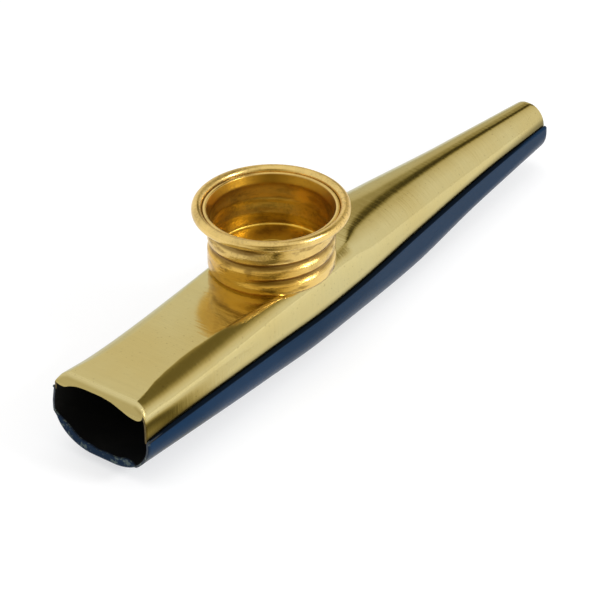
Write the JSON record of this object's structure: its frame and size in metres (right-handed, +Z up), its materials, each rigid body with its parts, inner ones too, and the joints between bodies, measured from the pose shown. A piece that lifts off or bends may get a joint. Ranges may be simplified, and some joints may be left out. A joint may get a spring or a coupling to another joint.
{
  "type": "kazoo",
  "caption": "Pressed sheet-metal kazoo: flattened mouth end, tapered body, round outlet, and a threaded turret whose screw cap clamps the membrane.",
  "frame": {"origin": "bottom centre of the overall box: on the plane the keel rests on, under the middle of the body's length", "axes": "+X from the mouth end to the narrow outlet, +Z up along the turret's axis, Y across the body"},
  "size_m": [0.12, 0.026, 0.0277],
  "materials": {
    "blue_paint": "glossy dark blue stove paint on pressed sheet",
    "brushed_brass": "pale brass lacquer, brushed across the body",
    "turret_brass": "spun yellow brass, rolled thread",
    "cap_brass": "spun yellow brass, drawn cup",
    "fibre": "matte vulcanised fibre",
    "film": "thin translucent film"
  },
  "bodies": {
    "body": {"lower_shell": "blue_paint", "upper_shell": "brushed_brass", "turret": "turret_brass", "seat_washer": "fibre", "membrane": "film"},
    "pressure_washer": {"pressure_washer": "fibre"},
    "screw_cap": {"screw_cap": "cap_brass"}
  },
  "joints": [
    {"name": "cap_lift", "type": "slide", "parent": "body", "child": "pressure_washer", "axis": [0, 0, 1], "range_m": [0, 0.00812]},
    {"name": "cap_turn", "type": "hinge", "parent": "pressure_washer", "child": "screw_cap", "pos_m": [-0.016, 0, 0.01625], "axis": [0, 0, 1], "range_deg": [0, 1044]}
  ],
  "couplings": [
    {"joint": "cap_lift", "follows": "cap_turn", "m_per_rad": 0.00044563}
  ]
}
